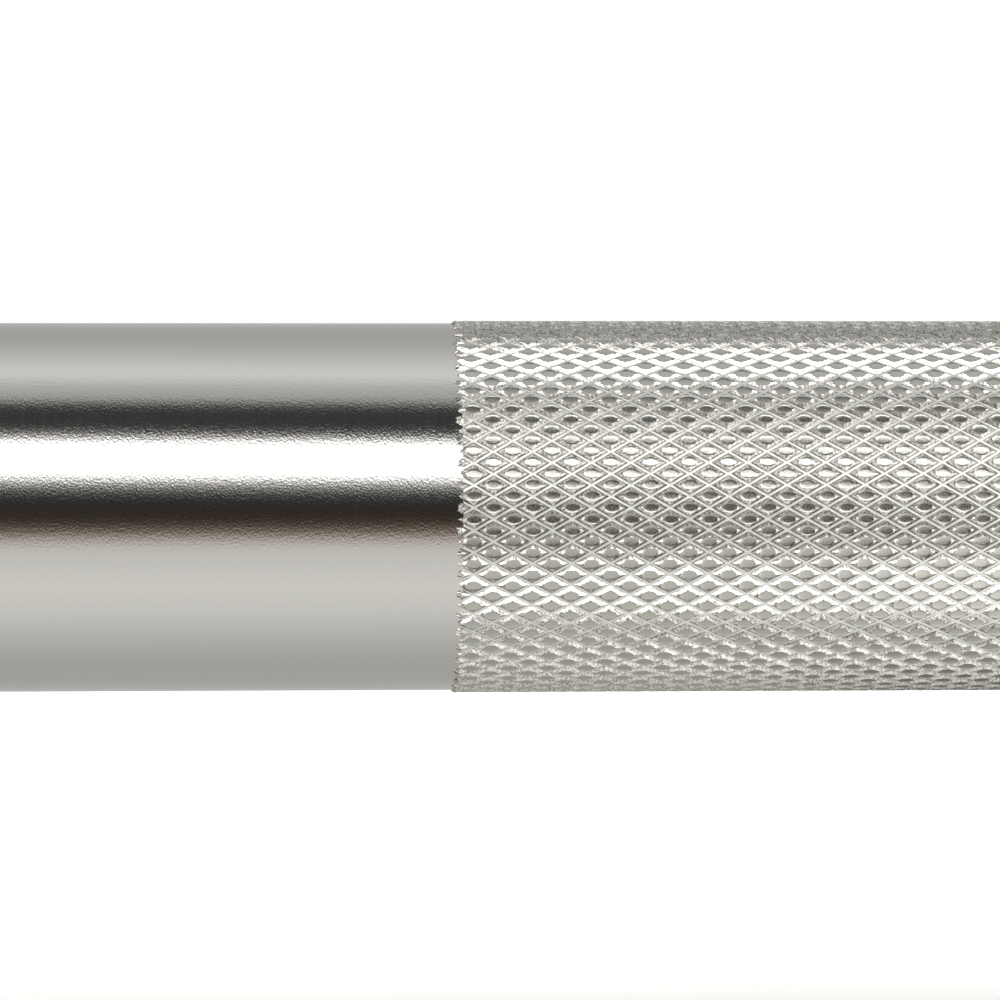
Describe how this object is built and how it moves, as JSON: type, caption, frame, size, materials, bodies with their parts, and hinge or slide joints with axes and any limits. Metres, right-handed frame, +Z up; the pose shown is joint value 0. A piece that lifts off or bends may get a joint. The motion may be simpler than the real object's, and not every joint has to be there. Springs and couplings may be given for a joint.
{
  "type": "olympic barbell",
  "caption": "Straight steel weightlifting bar with diamond-knurled grips and a free-turning plate sleeve with a flanged inner collar at each end.",
  "frame": {"origin": "middle of the shaft, on its axis", "axes": "+X along the bar towards the right-hand sleeve, +Z up"},
  "size_m": [2.2, 0.078, 0.078],
  "materials": {
    "shaft_steel": "satin ground steel with cut diamond knurling",
    "sleeve_chrome": "satin chrome with fine turning lines",
    "collar_chrome": "satin chrome, turned faces",
    "cap_steel": "turned steel, plain dished face",
    "bronze": "machined bearing bronze",
    "bearing_steel": "hardened and ground",
    "cage_steel": "pressed sheet steel",
    "spring_steel": "black oxide",
    "black_rubber": "moulded nitrile"
  },
  "bodies": {
    "shaft": {"shaft": "shaft_steel", "right_inner_thrust_washer": "bearing_steel", "right_steel_thrust_washer": "bearing_steel", "right_shaft_retaining_ring": "spring_steel", "left_inner_thrust_washer": "bearing_steel", "left_steel_thrust_washer": "bearing_steel", "left_shaft_retaining_ring": "spring_steel"},
    "right_sleeve_set": {"right_inner_collar": "collar_chrome", "right_dust_seal": "black_rubber", "right_sleeve": "sleeve_chrome", "right_flanged_bushing": "bronze", "right_bronze_thrust_washer": "bronze", "right_end_cap": "cap_steel", "right_end_cap_o_ring": "black_rubber", "right_cap_retaining_ring": "spring_steel", "right_inner_bearing_cup": "bearing_steel", "right_outer_bearing_cup": "bearing_steel"},
    "right_roller_set": {"right_inner_bearing_cage": "cage_steel", "right_inner_bearing_needles": "bearing_steel", "right_outer_bearing_cage": "cage_steel", "right_outer_bearing_needles": "bearing_steel"},
    "left_sleeve_set": {"left_inner_collar": "collar_chrome", "left_dust_seal": "black_rubber", "left_sleeve": "sleeve_chrome", "left_flanged_bushing": "bronze", "left_bronze_thrust_washer": "bronze", "left_end_cap": "cap_steel", "left_end_cap_o_ring": "black_rubber", "left_cap_retaining_ring": "spring_steel", "left_inner_bearing_cup": "bearing_steel", "left_outer_bearing_cup": "bearing_steel"},
    "left_roller_set": {"left_inner_bearing_cage": "cage_steel", "left_inner_bearing_needles": "bearing_steel", "left_outer_bearing_cage": "cage_steel", "left_outer_bearing_needles": "bearing_steel"}
  },
  "joints": [
    {"name": "right_sleeve_spin", "type": "hinge", "parent": "shaft", "child": "right_sleeve_set", "pos_m": [0.8775, 0, 0], "axis": [1, 0, 0], "continuous": true},
    {"name": "right_roller_spin", "type": "hinge", "parent": "shaft", "child": "right_roller_set", "pos_m": [0.8775, 0, 0], "axis": [1, 0, 0], "continuous": true},
    {"name": "left_sleeve_spin", "type": "hinge", "parent": "shaft", "child": "left_sleeve_set", "pos_m": [-0.8775, 0, 0], "axis": [1, 0, 0], "continuous": true},
    {"name": "left_roller_spin", "type": "hinge", "parent": "shaft", "child": "left_roller_set", "pos_m": [-0.8775, 0, 0], "axis": [1, 0, 0], "continuous": true}
  ],
  "couplings": [
    {"joint": "right_roller_spin", "follows": "right_sleeve_spin", "ratio": 0.5454},
    {"joint": "left_roller_spin", "follows": "left_sleeve_spin", "ratio": 0.5454}
  ]
}
